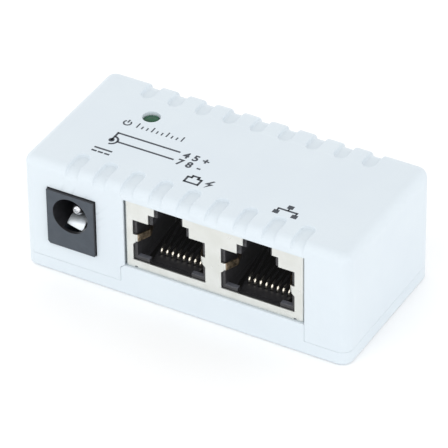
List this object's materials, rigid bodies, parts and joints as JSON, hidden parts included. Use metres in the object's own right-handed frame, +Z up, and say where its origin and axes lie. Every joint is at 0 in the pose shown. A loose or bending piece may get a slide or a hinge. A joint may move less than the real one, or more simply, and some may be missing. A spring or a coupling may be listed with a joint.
{
  "type": "power over ethernet injector",
  "caption": "Small moulded passive power injector with a round power socket, two shielded 8P8C network sockets side by side, a status light and grooved long edges.",
  "frame": {"origin": "centre of the case's flat underside", "axes": "+Z up, the sockets face -Y, +X to the right seen from the front"},
  "size_m": [0.058, 0.0283, 0.021],
  "materials": {
    "case_plastic": "satin moulded white ABS",
    "board_laminate": "green solder mask over glass laminate",
    "shield_metal": "tin plated steel sheet",
    "socket_plastic": "black moulded nylon",
    "contact_gold": "gold plated phosphor bronze wire",
    "jack_plastic": "moulded dark grey plastic",
    "plated_metal": "bright nickel plate",
    "led_epoxy": "tinted clear green epoxy",
    "resistor_body": "black glazed ceramic"
  },
  "bodies": {
    "case": {"top_cover": "case_plastic", "base_plate": "case_plastic", "circuit_board": "board_laminate", "port_shield_front": "shield_metal", "port_shield_rear": "shield_metal", "port_housing": "socket_plastic", "powered_port_contact_carrier": "socket_plastic", "powered_port_board_pin_1": "contact_gold", "powered_port_board_pin_2": "contact_gold", "powered_port_board_pin_3": "contact_gold", "powered_port_board_pin_4": "contact_gold", "powered_port_board_pin_5": "contact_gold", "powered_port_board_pin_6": "contact_gold", "powered_port_board_pin_7": "contact_gold", "powered_port_board_pin_8": "contact_gold", "data_port_contact_carrier": "socket_plastic", "data_port_board_pin_1": "contact_gold", "data_port_board_pin_2": "contact_gold", "data_port_board_pin_3": "contact_gold", "data_port_board_pin_4": "contact_gold", "data_port_board_pin_5": "contact_gold", "data_port_board_pin_6": "contact_gold", "data_port_board_pin_7": "contact_gold", "data_port_board_pin_8": "contact_gold", "power_jack_body": "jack_plastic", "power_jack_centre_pin": "plated_metal", "power_jack_sleeve_terminal": "plated_metal", "power_jack_switch_terminal": "plated_metal", "status_led_anode_lead": "plated_metal", "status_led_cathode_lead": "plated_metal", "status_led_lens": "led_epoxy", "status_led_resistor": "resistor_body"},
    "powered_port_contacts": {"powered_port_spring_arm_1": "contact_gold", "powered_port_spring_arm_2": "contact_gold", "powered_port_spring_arm_3": "contact_gold", "powered_port_spring_arm_4": "contact_gold", "powered_port_spring_arm_5": "contact_gold", "powered_port_spring_arm_6": "contact_gold", "powered_port_spring_arm_7": "contact_gold", "powered_port_spring_arm_8": "contact_gold"},
    "data_port_contacts": {"data_port_spring_arm_1": "contact_gold", "data_port_spring_arm_2": "contact_gold", "data_port_spring_arm_3": "contact_gold", "data_port_spring_arm_4": "contact_gold", "data_port_spring_arm_5": "contact_gold", "data_port_spring_arm_6": "contact_gold", "data_port_spring_arm_7": "contact_gold", "data_port_spring_arm_8": "contact_gold"},
    "power_jack_leaf": {"power_jack_leaf_spring": "plated_metal"}
  },
  "joints": [
    {"name": "powered_port_contact_press", "type": "hinge", "parent": "case", "child": "powered_port_contacts", "pos_m": [-0.00276, -0.00915, 0.00722], "axis": [-1, 0, 0], "range_deg": [0, 14], "stiffness_Nm_per_rad": 0.15},
    {"name": "data_port_contact_press", "type": "hinge", "parent": "case", "child": "data_port_contacts", "pos_m": [0.013, -0.00915, 0.00722], "axis": [-1, 0, 0], "range_deg": [0, 14], "stiffness_Nm_per_rad": 0.15},
    {"name": "power_jack_leaf_press", "type": "hinge", "parent": "case", "child": "power_jack_leaf", "pos_m": [-0.0201, -0.0053, 0.00875], "axis": [1, 0, 0], "range_deg": [0, 8], "stiffness_Nm_per_rad": 0.08}
  ]
}
